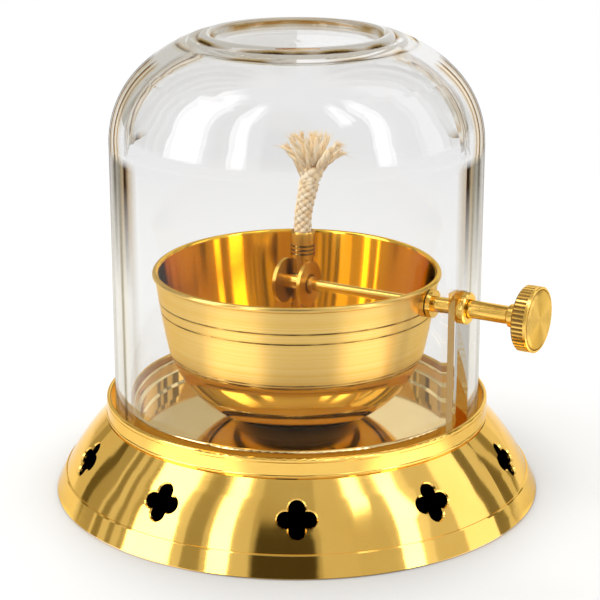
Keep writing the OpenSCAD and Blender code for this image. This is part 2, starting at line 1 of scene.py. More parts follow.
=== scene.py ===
"""Looks of an akhand diya, a brass perpetual oil lamp under a glass dome.

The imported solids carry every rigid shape. This script gives each of them its finish, braids and frays the
cotton wick, and stands the lamp on a pale paper sweep in a soft studio, seen as it was photographed.
"""

from __future__ import annotations

import logging
import math
import random
from dataclasses import dataclass
from enum import Enum
from functools import partial

import bpy
from mathutils import Matrix, Vector

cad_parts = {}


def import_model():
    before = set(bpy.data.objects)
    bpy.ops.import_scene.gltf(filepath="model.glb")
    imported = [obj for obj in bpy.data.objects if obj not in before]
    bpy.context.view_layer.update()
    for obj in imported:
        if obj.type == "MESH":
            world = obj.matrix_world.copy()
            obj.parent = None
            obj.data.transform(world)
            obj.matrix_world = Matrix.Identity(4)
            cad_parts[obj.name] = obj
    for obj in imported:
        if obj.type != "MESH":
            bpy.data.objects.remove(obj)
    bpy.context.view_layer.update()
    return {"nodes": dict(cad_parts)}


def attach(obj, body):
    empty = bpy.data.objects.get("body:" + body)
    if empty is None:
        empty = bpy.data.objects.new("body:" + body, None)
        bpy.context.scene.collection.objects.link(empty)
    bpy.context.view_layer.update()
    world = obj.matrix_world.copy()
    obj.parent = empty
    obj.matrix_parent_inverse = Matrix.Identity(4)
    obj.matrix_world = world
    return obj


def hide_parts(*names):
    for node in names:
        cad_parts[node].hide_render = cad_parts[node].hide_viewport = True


LOG = logging.getLogger("akhand_diya")
MM = 0.001
ROD_HEIGHT = 69.5 * MM
NOWHERE_MM = 1000.0
TURNED_LINE_MM = 0.0005
TUCK = "tuck"
# Light has been mirrored so often where its glossy depth is above these.
MIRRORED_ONCE = 0.5
MIRRORED_TWICE = 1.5
MIRRORED_THRICE = 2.5

Socket = bpy.types.NodeSocket
Add = partial[Socket]
Nodes = dict[str, bpy.types.Object]
Names = tuple[str, ...]
Colour = tuple[float, float, float, float]
Point = tuple[float, float, float]
Span = tuple[float, float]
Stops = tuple[tuple[float, str], ...]
Faces = list[list[int]]


class TurnAxis(Enum):
    """Axis that a piece was spun or turned about."""

    LAMP = "Z"
    ROD = "X"

    @property
    def centre(self) -> Point:
        """A point of the axis."""
        return (0, 0, 0) if self is TurnAxis.LAMP else (0, 0, ROD_HEIGHT)

    @property
    def across(self) -> Point:
        """One for each direction that lies across the axis."""
        return (1, 1, 0) if self is TurnAxis.LAMP else (0, 1, 1)


def linear(code: str) -> Colour:
    """Turns an sRGB hex colour into linear light.

    Args:
        code: Six hex digits, such as "C99A3C".

    Returns:
        Red, green, blue and an alpha of one.
    """
    parts = [int(code[i:i + 2], 16) / 255 for i in (0, 2, 4)]
    red, green, blue = (c / 12.92 if c <= 0.04045 else ((c + 0.055) / 1.055) ** 2.4 for c in parts)
    return red, green, blue, 1.0


def fill_ramp(ramp: bpy.types.ColorRamp, stops: list[tuple[float, Colour]]) -> None:
    """Sets the stops of a colour ramp.

    Args:
        ramp: A new ramp, which has two stops.
        stops: Place and colour of each stop, in order.
    """
    for index, (spot, colour) in enumerate(stops):
        stop = ramp.elements[index] if index < 2 else ramp.elements.new(spot)
        stop.position = spot
        stop.color = colour


def add_node(tree: bpy.types.NodeTree, kind: str, settings: dict | None = None, links: dict | None = None,
             out: int | str = 0) -> Socket | None:
    """Adds a shader node with its settings and links.

    Args:
        tree: Node tree that the node goes into.
        kind: Type name of the node, less its "ShaderNode".
        settings: Values by input name or number, or by the node's own property. "From" and "To" set both
            ends of a range, and "stops" fills a ramp.
        links: Output sockets by the input name or number that they feed.
        out: Name or number of the output that is wanted.

    Returns:
        That output, or None for a node that ends the tree.
    """
    node = tree.nodes.new(f"ShaderNode{kind}")
    for key, value in (settings or {}).items():
        if key == "stops":
            fill_ramp(node.color_ramp, value)
        elif key in ("From", "To"):
            for end, limit in zip(("Min", "Max"), value):
                node.inputs[f"{key} {end}"].default_value = limit
        elif isinstance(key, int) or key in node.inputs:
            node.inputs[key].default_value = value
        else:
            setattr(node, key, value)
    for key, socket in (links or {}).items():
        tree.links.new(socket, node.inputs[key])
    return node.outputs[out] if len(node.outputs) else None


@dataclass(frozen=True)
class Finish:
    """A material that is made of nodes."""

    name: str

    def build(self) -> bpy.types.Material:
        """Makes the material.

        Returns:
            A new material with the nodes of the finish.
        """
        material = bpy.data.materials.new(self.name)
        material.use_nodes = True
        material.node_tree.nodes.clear()
        add = partial(add_node, material.node_tree)
        add("OutputMaterial", links={"Surface": self.shade(add)})
        return material

    def shade(self, add: Add) -> Socket:
        """Adds the nodes of the finish and hands back its shader."""
        raise NotImplementedError


@dataclass(frozen=True)
class Lathe:
    """Sockets that tell where a point lies on a spun or turned piece, and its buffing lines."""

    place: Socket
    along: Socket
    radius: Socket
    facing: Socket
    lines: Socket


@dataclass(frozen=True)
class SpunBrass(Finish):
    """Cartridge brass, spun or turned on a lathe, then buffed and lacquered.

    Buffing leaves fine lines round the axis, so reflections stay clear along them and smear across them.
    """

    axis: TurnAxis
    bright: str = "F2C664"
    deep: str = "E9B650"
    grazing: str = "F7E2B0"
    deep_in: str = "FCF0D0"
    roughness: float = 0.1
    spread: float = 0.05
    anisotropy: float = 0.92
    lacquer: float = 0.3
    lacquer_roughness: float = 0.04
    line_mm: float = 0.42
    line_height_mm: float = 0.005
    line_span: Span = (0.3, 0.7)
    line_bump: float = 0.25
    cloud_mm: float = 17.0
    cloud_span: Span = (0.35, 0.7)
    cloud_share: float = 0.55
    inside: str = ""
    inside_roughness: float = 0.6
    inside_facing: Span = (-0.45, -0.25)
    rough_under: bool = False
    under_roughness: float = 0.45
    under_slope: Span = (-0.96, -0.9)
    satin_from_mm: float = NOWHERE_MM
    satin_roughness: float = 0.3
    satin_tint: str = "F7D68C"
    satin_span: Span = (0.35, 0.65)
    satin_share: float = 0.75
    satin_facing: float = 0.5
    # Colour of the turned grooves: partly tarnished metal, partly painted shade in the hollows.
    tarnish_shade: str = "5C380E"
    tarnish_shade_share: float = 0.85
    tarnish_shade_facing: float = -0.1
    groove_mm: tuple[Span, ...] = ()
    groove_r_mm: Span = (NOWHERE_MM, NOWHERE_MM + 1)
    groove_soft_mm: float = 0.12
    groove_margin_mm: float = 1.0
    wear_mm: float = 8.0
    wear_span: Span = (0.38, 0.58)
    wear_left: float = 0.3

    def shade(self, add: Add) -> Socket:
        """Adds the nodes of the brass.

        Args:
            add: Adds a node to the material.

        Returns:
            Shader of the brass.
        """
        at = self._lathe(add)
        limits = (self.roughness - self.spread / 2, self.roughness + self.spread / 2)
        rough = add("MapRange", {"From": self.line_span, "To": limits}, {"Value": at.lines})
        cloud = add("TexNoise", {"Scale": 1 / (self.cloud_mm * MM), "Detail": 4.0}, {"Vector": at.place})
        share = add("MapRange", {"From": self.cloud_span, "To": (0.0, self.cloud_share)}, {"Value": cloud})
        colour = add("Mix", {"data_type": "RGBA", 6: linear(self.bright), 7: linear(self.deep)},
                     {0: share}, 2)
        if self.satin_from_mm < NOWHERE_MM:
            colour, rough = self._satin(add, at, colour, rough)
        # The turned grooves are darkened: partly tarnished metal, partly painted shade.
        if self.groove_mm:
            colour = self._tarnish_shade(add, at, colour)
        if self.inside:
            colour, rough = self._inside(add, at, colour, rough)
        if self.rough_under:
            rough = self._under(add, rough)
        # Light that brass has mirrored twice is deep gold. From there on it is kept so, or hollows turn red.
        depth = add("LightPath", out="Glossy Depth")
        often = add("Math", {"operation": "GREATER_THAN", 1: MIRRORED_TWICE}, {0: depth})
        colour = add("Mix", {"data_type": "RGBA", 7: linear(self.deep_in)}, {0: often, 6: colour}, 2)
        bump = add("Bump", {"Strength": self.line_bump, "Distance": self.line_height_mm * MM},
                   {"Height": at.lines})
        tangent = add("Tangent", {"direction_type": "RADIAL", "axis": self.axis.value})
        # A quarter turn lays the smear across the lines.
        return add("BsdfPrincipled", {
            "Metallic": 1.0, "Specular Tint": linear(self.grazing),
            "Anisotropic": self.anisotropy, "Anisotropic Rotation": 0.25,
            "Coat Weight": self.lacquer, "Coat Roughness": self.lacquer_roughness},
            {"Base Color": colour, "Roughness": rough, "Normal": bump, "Tangent": tangent})

    def _lathe(self, add: Add) -> Lathe:
        """Adds the nodes that tell where a point lies about the axis.

        Args:
            add: Adds a node to the material.

        Returns:
            Their sockets. The facing is how squarely the surface looks out from the axis, from -1 to 1.
        """
        place = add("TexCoord", out="Object")
        centred = add("VectorMath", {"operation": "SUBTRACT", 1: self.axis.centre}, {0: place})
        spoke = add("VectorMath", {"operation": "MULTIPLY", 1: self.axis.across}, {0: centred})
        radius = add("VectorMath", {"operation": "LENGTH"}, {0: spoke}, "Value")
        along = add("SeparateXYZ", links={0: centred}, out=self.axis.value)
        section = add("CombineXYZ", links={"X": radius, "Y": along})
        # Real buffing lines are near 0.1 mm apart. They are drawn about as fine as a pixel, to show.
        lines = add("TexNoise", {"Scale": 1 / (self.line_mm * MM), "Detail": 3.0, "Roughness": 0.65},
                    {"Vector": section})
        normal = add("NewGeometry", out="Normal")
        outward = add("VectorMath", {"operation": "NORMALIZE"}, {0: spoke})
        facing = add("VectorMath", {"operation": "DOT_PRODUCT"}, {0: normal, 1: outward}, "Value")
        return Lathe(place, along, radius, facing, lines)

    def _tarnish_shade(self, add: Add, at: Lathe, colour: Socket) -> Socket:
        """Darkens turned grooves outside, partly dark polish and tarnished metal, partly painted shade,
        broken up by noise.

        Args:
            add: Adds a node to the material.
            at: Where a point lies on the piece.
            colour: Colour of the clean metal.

        Returns:
            Colour with its grooves darkened.
        """
        low = self.groove_mm[0][0] - self.groove_margin_mm
        high = self.groove_mm[-1][1] + self.groove_margin_mm
        edges = [edge for start, end in self.groove_mm for edge in (
            (start - self.groove_soft_mm, 0.0), (start, 1.0), (end, 1.0), (end + self.groove_soft_mm, 0.0))]
        stops = [((spot - low) / (high - low), (level, level, level, 1.0)) for spot, level in edges]
        height = add("MapRange", {"From": (low * MM, high * MM)}, {"Value": at.along})
        share = add("ValToRGB", {"stops": stops}, {"Fac": height})
        reach = (self.groove_r_mm[0] * MM, self.groove_r_mm[1] * MM)
        deep = add("MapRange", {"From": reach, "To": (self.tarnish_shade_share, 0.0)}, {"Value": at.radius})
        outside = add("Math", {"operation": "GREATER_THAN", 1: self.tarnish_shade_facing}, {0: at.facing})
        wear = add("TexNoise", {"Scale": 1 / (self.wear_mm * MM), "Detail": 2.0}, {"Vector": at.place})
        left = add("MapRange", {"From": self.wear_span, "To": (self.wear_left, 1.0)}, {"Value": wear})
        for part in (deep, outside, left):
            share = add("Math", {"operation": "MULTIPLY"}, {0: share, 1: part})
        return add("Mix", {"data_type": "RGBA", 7: linear(self.tarnish_shade)}, {0: share, 6: colour}, 2)

    def _satin(self, add: Add, at: Lathe, colour: Socket, rough: Socket) -> tuple[Socket, Socket]:
        """Leaves the outside above a height as the abrasive cloth left it, paler and less bright.

        Args:
            add: Adds a node to the material.
            at: Where a point lies on the piece.
            colour: Colour of the bright part.
            rough: Roughness of the bright part.

        Returns:
            Colour and roughness of both parts.
        """
        high = add("Math", {"operation": "GREATER_THAN", 1: self.satin_from_mm * MM}, {0: at.along})
        outside = add("Math", {"operation": "GREATER_THAN", 1: self.satin_facing}, {0: at.facing})
        both = add("Math", {"operation": "MULTIPLY"}, {0: high, 1: outside})
        streak = add("MapRange", {"From": self.satin_span, "To": (0.0, self.satin_share)},
                     {"Value": at.lines})
        pale = add("Math", {"operation": "MULTIPLY"}, {0: both, 1: streak})
        colour = add("Mix", {"data_type": "RGBA", 7: linear(self.satin_tint)}, {0: pale, 6: colour}, 2)
        rough = add("Mix", {"data_type": "FLOAT", 3: self.satin_roughness}, {0: both, 2: rough})
        return colour, rough

    def _inside(self, add: Add, at: Lathe, colour: Socket, rough: Socket) -> tuple[Socket, Socket]:
        """Gives the inside of a spun shell its own colour and roughness: its own finish in the bowl, painted
        near-black shade in the skirt.

        Args:
            add: Adds a node to the material.
            at: Where a point lies on the piece.
            colour: Colour of the outside.
            rough: Roughness of the outside.

        Returns:
            Colour and roughness of both sides.
        """
        share = add("MapRange", {"From": self.inside_facing, "To": (1.0, 0.0)}, {"Value": at.facing})
        colour = add("Mix", {"data_type": "RGBA", 7: linear(self.inside)}, {0: share, 6: colour}, 2)
        rough = add("Mix", {"data_type": "FLOAT", 3: self.inside_roughness}, {0: share, 2: rough})
        return colour, rough

    def _under(self, add: Add, rough: Socket) -> Socket:
        """Leaves the underside as it came off the former, which no one polishes.

        Args:
            add: Adds a node to the material.
            rough: Roughness of the polished metal.

        Returns:
            Roughness of both parts.
        """
        slope = add("SeparateXYZ", links={0: add("NewGeometry", out="Normal")}, out="Z")
        under = add("MapRange", {"From": self.under_slope, "To": (self.under_roughness, 0.0)},
                    {"Value": slope})
        return add("Math", {"operation": "MAXIMUM"}, {0: rough, 1: under})


@dataclass(frozen=True)
class FibreWasher(Finish):
    """Vulcanised fibre, punched from sheet: dark, dense and dry, with a faint mottle."""

    name: str = "vulcanised_fibre_punched"
    dark: str = "17110C"
    light: str = "33261A"
    roughness: float = 0.7
    mottle_mm: float = 0.8
    mottle_height_mm: float = 0.03
    mottle_bump: float = 0.3

    def shade(self, add: Add) -> Socket:
        """Adds the nodes of the fibre.

        Args:
            add: Adds a node to the material.

        Returns:
            Shader of the fibre.
        """
        place = add("TexCoord", out="Object")
        mottle = add("TexNoise", {"Scale": 1 / (self.mottle_mm * MM), "Detail": 3.0}, {"Vector": place})
        colour = add("Mix", {"data_type": "RGBA", 6: linear(self.dark), 7: linear(self.light)},
                     {0: mottle}, 2)
        bump = add("Bump", {"Strength": self.mottle_bump, "Distance": self.mottle_height_mm * MM},
                   {"Height": mottle})
        return add("BsdfPrincipled", {"Roughness": self.roughness}, {"Base Color": colour, "Normal": bump})


@dataclass(frozen=True)
class RawCotton(Finish):
    """Unbleached cotton yarn, spun and braided: cream and soft, with painted brown shade between the
    strands.
    """

    name: str = "raw_cotton_braided"
    pale: str = "FFF3D8"
    warm: str = "F7D090"
    warm_span: Span = (0.12, 0.42)
    warm_share: float = 0.85
    painted_tuck_shade: str = "8A5A26"
    roughness: float = 0.9
    sheen: float = 0.08
    fibre_mm: float = 0.22
    fibre_stretch: Point = (1, 1, 0.35)
    fibre_height_mm: float = 0.06
    fibre_bump: float = 0.6
    mottle_mm: float = 2.4

    def shade(self, add: Add) -> Socket:
        """Adds the nodes of the cotton.

        Args:
            add: Adds a node to the material.

        Returns:
            Shader of the cotton.
        """
        place = add("TexCoord", out="Object")
        stretched = add("VectorMath", {"operation": "MULTIPLY", 1: self.fibre_stretch}, {0: place})
        # Cotton fibres are near 0.02 mm thick. They are drawn as coarse as they need to be to show.
        fibre = add("TexNoise", {"Scale": 1 / (self.fibre_mm * MM), "Detail": 3.0, "Roughness": 0.7},
                    {"Vector": stretched})
        mottle = add("TexNoise", {"Scale": 1 / (self.mottle_mm * MM), "Detail": 2.0}, {"Vector": place})
        blend = add("Math", {"operation": "MULTIPLY"}, {0: fibre, 1: mottle})
        share = add("MapRange", {"From": self.warm_span, "To": (0.0, self.warm_share)}, {"Value": blend})
        colour = add("Mix", {"data_type": "RGBA", 6: linear(self.pale), 7: linear(self.warm)}, {0: share}, 2)
        # Deep between the strands the cotton takes painted brown shade.
        tuck = add("Attribute", {"attribute_name": TUCK}, out="Fac")
        colour = add("Mix", {"data_type": "RGBA", 7: linear(self.painted_tuck_shade)}, {0: tuck, 6: colour}, 2)
        bump = add("Bump", {"Strength": self.fibre_bump, "Distance": self.fibre_height_mm * MM},
                   {"Height": fibre})
        return add("BsdfPrincipled", {"Roughness": self.roughness, "Sheen Weight": self.sheen},
                   {"Base Color": colour, "Normal": bump})


@dataclass(frozen=True)
class BlownGlass(Finish):
    """Clear soda-lime glass, blown in a mould and fire-polished: glossy, with a very faint ripple.

    Each surface passes about 96% of the light. The upright wall mirrors the pale table less than bare glass
    does, as when it is photographed through a polarising filter. The shoulder and the edges mirror in full.
    """

    name: str = "soda_lime_glass_blown"
    tint: str = "F9F9F9"
    ior: float = 1.5
    head_on: float = 0.034
    upright: Span = (0.03, 0.2)
    spent_glow_tone: str = "D2CDC4"
    painted_brass_reflection: str = "E6BC72"
    slot_x: float = 50.0 * MM
    slot_half: float = 5.45 * MM
    slot_top: float = 75.4 * MM
    foot_top: float = 26.45 * MM
    outer_from: float = 58.0 * MM
    high_from: Span = (72.0 * MM, 108.0 * MM)
    shoulder_from: Span = (113.5 * MM, 116.5 * MM)
    crown_from: Span = (142.0 * MM, 144.0 * MM)
    ring_span: float = 50.0 * MM
    wander_mm: float = 15.0
    wander: float = 0.03
    faint_span: Span = (0.4, 0.62)
    faint_left: float = 0.15
    ripple_mm: float = 26.0
    ripple_height_mm: float = 0.02
    ripple_bump: float = 0.3
    # Painted reflections: lines that a thick wall shows along its edge, by slant, and rings on the crown, by
    # radius.
    low_painted_lines: Stops = (
        (0.0, "F9F9F9"), (0.50, "F9F9F9"), (0.56, "E6E3DD"), (0.60, "F3F2EF"), (0.66, "EFEAE0"),
        (0.69, "A99D84"), (0.72, "EEEAE2"), (0.80, "F2F0EC"), (0.86, "DAD6CE"), (0.92, "E8E6E2"),
        (0.96, "C4BFB8"), (1.0, "D2CFCB"))
    high_painted_lines: Stops = (
        (0.0, "F9F9F9"), (0.50, "F9F9F9"), (0.55, "DCD2C4"), (0.58, "C8B294"), (0.605, "5E4630"),
        (0.625, "24160C"), (0.645, "BCA684"), (0.69, "96907F"), (0.73, "ACA89C"), (0.77, "6C6454"),
        (0.81, "BEBAB2"), (0.87, "DAD6D2"), (0.94, "AAA6A2"), (1.0, "C4C0BC"))
    shoulder_painted_lines: Stops = (
        (0.0, "F9F9F9"), (0.64, "F9F9F9"), (0.685, "EDE6DA"), (0.705, "C9A468"), (0.718, "F6F0E4"),
        (0.742, "F2E4C8"), (0.755, "A87432"), (0.766, "4A3824"), (0.778, "F4EAD8"), (0.80, "F9F6F0"),
        (0.82, "D8C4A0"), (0.835, "F4F0E8"), (0.855, "B48A4C"), (0.868, "2E241A"), (0.88, "C8BFB2"),
        (0.90, "F4F0EA"), (0.92, "A8A29A"), (0.935, "6A6258"), (0.95, "D8D4CE"), (0.97, "3A3632"),
        (1.0, "6A6662"))
    crown_painted_rings: Stops = (
        (0.0, "F9F9F9"), (0.515, "F9F9F9"), (0.525, "F2EADB"), (0.533, "D8BE8C"), (0.541, "B89A62"),
        (0.55, "EEE4CE"), (0.565, "FAFAF8"), (0.615, "F9F9F9"), (0.622, "D8B878"), (0.629, "3A2C1A"),
        (0.636, "B88E4A"), (0.65, "F2EADA"), (0.67, "F9F9F9"), (0.735, "F4ECDC"), (0.75, "C9A468"),
        (0.76, "4A3824"), (0.77, "EDE2CC"), (0.79, "F9F9F9"), (1.0, "F9F9F9"))

    def shade(self, add: Add) -> Socket:
        """Adds the nodes of the glass.

        Args:
            add: Adds a node to the material.

        Returns:
            Shader of the glass.
        """
        place = add("TexCoord", out="Object")
        ripple = add("TexNoise", {"Scale": 1 / (self.ripple_mm * MM), "Detail": 1.0}, {"Vector": place})
        bump = add("Bump", {"Strength": self.ripple_bump, "Distance": self.ripple_height_mm * MM},
                   {"Height": ripple})
        # The slot's side and the wall's foot take a painted gold reflection of the brass beside them.
        colour = add("Mix", {"data_type": "RGBA", 7: linear(self.painted_brass_reflection)},
                     {0: self._brass_reflection_mask(add, place), 6: self._edge(add, place, bump)}, 2)
        bent = add("BsdfRefraction", {"Roughness": 0.0, "IOR": self.ior}, {"Color": colour, "Normal": bump})
        mirrored = add("BsdfGlossy", {"Roughness": 0.0}, {"Color": colour, "Normal": bump})
        gloss = add("Fresnel", {"IOR": self.ior}, {"Normal": bump})
        tilt = add("SeparateXYZ", links={0: add("NewGeometry", out="Normal")}, out="Z")
        held = add("MapRange", {"From": self.upright, "To": (self.head_on, 0.0)}, {"Value": tilt})
        share = add("MapRange", links={"Value": gloss, "From Min": held})
        clear = add("MixShader", links={0: share, 1: bent, 2: mirrored})
        # After three mirrorings the glass glows an even, painted pale tone: light gone round in the crown's
        # ring.
        depth = add("LightPath", out="Glossy Depth")
        spent = add("Math", {"operation": "GREATER_THAN", 1: MIRRORED_THRICE}, {0: depth})
        glow = add("Emission", {"Color": linear(self.spent_glow_tone), "Strength": 1.0})
        return add("MixShader", links={0: spent, 1: clear, 2: glow})

    def _edge(self, add: Add, place: Socket, bump: Socket) -> Socket:
        """Paints reflections: clear face on, grey and brown lines where a thick wall shows its edge, rings
        on the crown.

        Args:
            add: Adds a node to the material.
            place: Place on the glass.
            bump: Rippled normal.

        Returns:
            Colour of the glass, which is plain inside the upright wall and where a ray leaves the glass.
        """
        slant = add("LayerWeight", {"Blend": 0.5}, {"Normal": bump}, "Facing")
        height = add("SeparateXYZ", links={0: place}, out="Z")
        flat = add("VectorMath", {"operation": "MULTIPLY", 1: TurnAxis.LAMP.across}, {0: place})
        reach = add("VectorMath", {"operation": "LENGTH"}, {0: flat}, "Value")
        # The painted rings of the crown wander and fade with a noise.
        stir = add("TexNoise", {"Scale": 1 / (self.wander_mm * MM), "Detail": 1.0}, {"Vector": place})
        across = add("MapRange", {"From": (0.0, self.ring_span)}, {"Value": reach})
        across = add("Math", {"operation": "SUBTRACT", 1: self.wander / 2}, {0: across})
        across = add("Math", {"operation": "MULTIPLY_ADD", 1: self.wander}, {0: stir, 2: across})
        faint = add("MapRange", {"From": self.faint_span, "To": (self.faint_left, 1.0)}, {"Value": stir})
        drawn, high, shoulder, crown = (
            add("ValToRGB", {"stops": [(spot, linear(code)) for spot, code in stops]}, {"Fac": value})
            for stops, value in ((self.low_painted_lines, slant), (self.high_painted_lines, slant),
                                 (self.shoulder_painted_lines, slant), (self.crown_painted_rings, across)))
        crown = add("Mix", {"data_type": "RGBA", 6: linear(self.tint)}, {0: faint, 7: crown}, 2)
        for lines, span in ((high, self.high_from), (shoulder, self.shoulder_from),
                            (crown, self.crown_from)):
            rise = add("MapRange", {"From": span}, {"Value": height})
            drawn = add("Mix", {"data_type": "RGBA"}, {0: rise, 6: drawn, 7: lines}, 2)
        inner = add("Math", {"operation": "LESS_THAN", 1: self.outer_from}, {0: reach})
        wall = add("Math", {"operation": "LESS_THAN", 1: self.shoulder_from[0]}, {0: height})
        inner = add("Math", {"operation": "MULTIPLY"}, {0: inner, 1: wall})
        back = add("NewGeometry", out="Backfacing")
        plain = add("Math", {"operation": "MAXIMUM"}, {0: inner, 1: back})
        return add("Mix", {"data_type": "RGBA", 7: linear(self.tint)}, {0: plain, 6: drawn}, 2)

    def _brass_reflection_mask(self, add: Add, place: Socket) -> Socket:
        """Finds where a gold reflection of the brass is painted: the slot side that mirrors the collar and
        tube, and the wall's foot.

        Args:
            add: Adds a node to the material.
            place: Place on the glass.

        Returns:
            One there and nought elsewhere.
        """
        spot = add("SeparateXYZ", links={0: place}).node.outputs
        slot = add("Math", {"operation": "GREATER_THAN", 1: self.slot_x}, {0: spot["X"]})
        for test, axis, limit in (("LESS_THAN", "Y", 0.0), ("GREATER_THAN", "Y", -self.slot_half),
                                  ("LESS_THAN", "Z", self.slot_top)):
            held = add("Math", {"operation": test, 1: limit}, {0: spot[axis]})
            slot = add("Math", {"operation": "MULTIPLY"}, {0: slot, 1: held})
        foot = add("Math", {"operation": "LESS_THAN", 1: self.foot_top}, {0: spot["Z"]})
        return add("Math", {"operation": "MAXIMUM"}, {0: slot, 1: foot})


@dataclass(frozen=True)
class PaperSweep(Finish):
    """Matt white studio paper, which keeps part of the lamp's shadow, with a painted contact shadow and
    painted near-black shade under its stand.
    """

    name: str = "studio_paper_white"
    shaded: str = "D0D0CE"
    covered_shade: str = "0A0703"
    white_share: float = 0.3
    covered_r: float = 79.0 * MM
    contact_reach: float = 25.0 * MM
    contact_from: float = 0.5
    contact_light: float = 0.55
    far_off: Span = (0.16, 0.5)
    pool_strength: float = 2.6
    pool_tint: str = "FFF6E6"
    pool_core: float = 0.6
    pools: tuple[tuple[Point, float], ...] = (((-0.035, -0.107, 0.0), 0.06), ((0.114, -0.014, 0.0), 0.055))

    def shade(self, add: Add) -> Socket:
        """Adds the nodes of the paper.

        Args:
            add: Adds a node to the material.

        Returns:
            Shader of the paper.
        """
        place = add("TexCoord", out="Object")
        reach = add("VectorMath", {"operation": "LENGTH"}, {0: place}, "Value")
        bare = add("Math", {"operation": "GREATER_THAN", 1: self.covered_r}, {0: reach})
        # What stands on the paper takes part of the light off it close by: an occlusion node paints this
        # contact shadow.
        near = add("AmbientOcclusion", {"Distance": self.contact_reach}, out="AO")
        near = add("MapRange", {"From": (self.contact_from, 1.0), "To": (self.contact_light, 1.0)},
                   {"Value": near})
        rays = add("LightPath").node.outputs
        seen = rays["Is Camera Ray"]
        for kind in ("Is Glossy Ray", "Is Transmission Ray"):
            seen = add("Math", {"operation": "MAXIMUM"}, {0: seen, 1: rays[kind]})
        share = add("Math", {"operation": "MULTIPLY", 1: self.white_share}, {0: near})
        far = add("MapRange", {"From": self.far_off}, {"Value": reach})
        share = add("Math", {"operation": "MAXIMUM"}, {0: share, 1: far})
        for part in (seen, bare):
            share = add("Math", {"operation": "MULTIPLY"}, {0: share, 1: part})
        # Under the stand the paper is painted near-black: painted shade in the closed hollow.
        colour = add("Mix", {"data_type": "RGBA", 6: linear(self.covered_shade), 7: linear(self.shaded)},
                     {0: bare}, 2)
        colour = add("Mix", {"data_type": "RGBA", 6: linear(self.covered_shade)}, {0: near, 7: colour}, 2)
        paper = add("BsdfDiffuse", links={"Color": colour})
        white = add("Emission", {"Strength": 1.0})
        mixed = add("MixShader", links={0: share, 1: paper, 2: white})
        # Two painted pools of light glow on the bare paper, seen only where brass mirrors it.
        mirrored = add("Math", {"operation": "GREATER_THAN", 1: MIRRORED_ONCE}, {0: rays["Glossy Depth"]})
        mirrored = add("Math", {"operation": "MULTIPLY"}, {0: mirrored, 1: bare})
        pool = add("Emission", {"Color": linear(self.pool_tint), "Strength": self.pool_strength})
        for centre, size in self.pools:
            away = add("VectorMath", {"operation": "DISTANCE", 1: centre}, {0: place}, "Value")
            within = add("MapRange", {"From": (size * self.pool_core, size), "To": (1.0, 0.0)},
                         {"Value": away})
            lit = add("Math", {"operation": "MULTIPLY"}, {0: within, 1: mirrored})
            mixed = add("MixShader", links={0: lit, 1: mixed, 2: pool})
        return mixed


def dress(nodes: Nodes, names: Names, finish: Finish) -> None:
    """Gives solids a finish.

    Args:
        nodes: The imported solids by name.
        names: Solids to dress.
        finish: Finish that they take.
    """
    material = finish.build()
    for name in names:
        mesh = nodes[name].data
        mesh.materials.clear()
        mesh.materials.append(material)
        LOG.info("dressed %s in %s", name, material.name)


def ring_faces(first: int, rings: int, sides: int) -> Faces:
    """Joins rings of points to a tube that is closed at its ends.

    Args:
        first: Number of the first ring's first point.
        rings: How many rings there are.
        sides: Points of a ring.

    Returns:
        Faces of the tube.
    """
    starts = [first + k * sides for k in range(rings)]
    faces = [[low + i, low + (i + 1) % sides, high + (i + 1) % sides, high + i]
             for low, high in zip(starts, starts[1:]) for i in range(sides)]
    faces.append([first + i for i in reversed(range(sides))])
    faces.append([starts[-1] + i for i in range(sides)])
    return faces


def tube_mesh(paths: list[list[Vector]], radii: list[list[float]], sides: int) -> tuple[list[Vector], Faces]:
    """Sweeps round sections along paths.

    Args:
        paths: Centre lines.
        radii: Radius at each point of each line.
        sides: Sides of a section.

    Returns:
        Points and faces of all the tubes, closed at their ends.
    """
    points: list[Vector] = []
    faces: Faces = []
    for path, radius in zip(paths, radii):
        faces += ring_faces(len(points), len(path), sides)
        side = Vector((1, 0, 0))
        for k, spot in enumerate(path):
            ahead = (path[min(k + 1, len(path) - 1)] - path[max(k - 1, 0)]).normalized()
            side = (side - ahead * side.dot(ahead)).normalized()
            other = ahead.cross(side)
            for i in range(sides):
                turn = math.tau * i / sides
                points.append(spot + (side * math.cos(turn) + other * math.sin(turn)) * radius[k])
    return points, faces


def mesh_object(name: str, points: list[Vector], faces: Faces, material: bpy.types.Material,
                tuck: list[float] | None = None) -> bpy.types.Object:
    """Makes a smooth mesh object.

    Args:
        name: Name of the piece.
        points: Its points in the lamp's frame.
        faces: Its faces.
        material: Its finish.
        tuck: How deep each point lies between its neighbours, from 0 to 1, which sets its painted shade.

    Returns:
        The object, linked to the scene.
    """
    mesh = bpy.data.meshes.new(name)
    mesh.from_pydata(points, [], faces)
    mesh.polygons.foreach_set("use_smooth", [True] * len(mesh.polygons))
    mesh.materials.append(material)
    if tuck is not None:
        mesh.attributes.new(TUCK, "FLOAT", "POINT").data.foreach_set("value", tuck)
    mesh.update()
    piece = bpy.data.objects.new(name, mesh)
    bpy.context.scene.collection.objects.link(piece)
    return piece


@dataclass
class Stand:
    """Spun stand: foot band, pierced skirt, gallery for the glass, and the dished tray."""

    shells: Names = ("foot_ring", "gallery_ring")
    pierced: Names = ("pierced_skirt",)
    tray: Names = ("drip_tray",)

    def dress(self, nodes: Nodes) -> None:
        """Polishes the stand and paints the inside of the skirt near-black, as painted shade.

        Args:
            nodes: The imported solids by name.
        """
        dress(nodes, self.shells, SpunBrass("cartridge_brass_spun_polished", TurnAxis.LAMP))
        # The inside of the pierced skirt is painted near-black: painted shade in the closed hollow under the
        # stand.
        dress(nodes, self.pierced, SpunBrass("cartridge_brass_spun_shell_shaded_inside", TurnAxis.LAMP, inside="1C1106"))
        dress(nodes, self.tray, SpunBrass(
            "cartridge_brass_spun_satin", TurnAxis.LAMP, bright="F5DCA4", deep="E6C887", grazing="FFF2D6",
            roughness=0.08, anisotropy=0.8, lacquer=0.0))


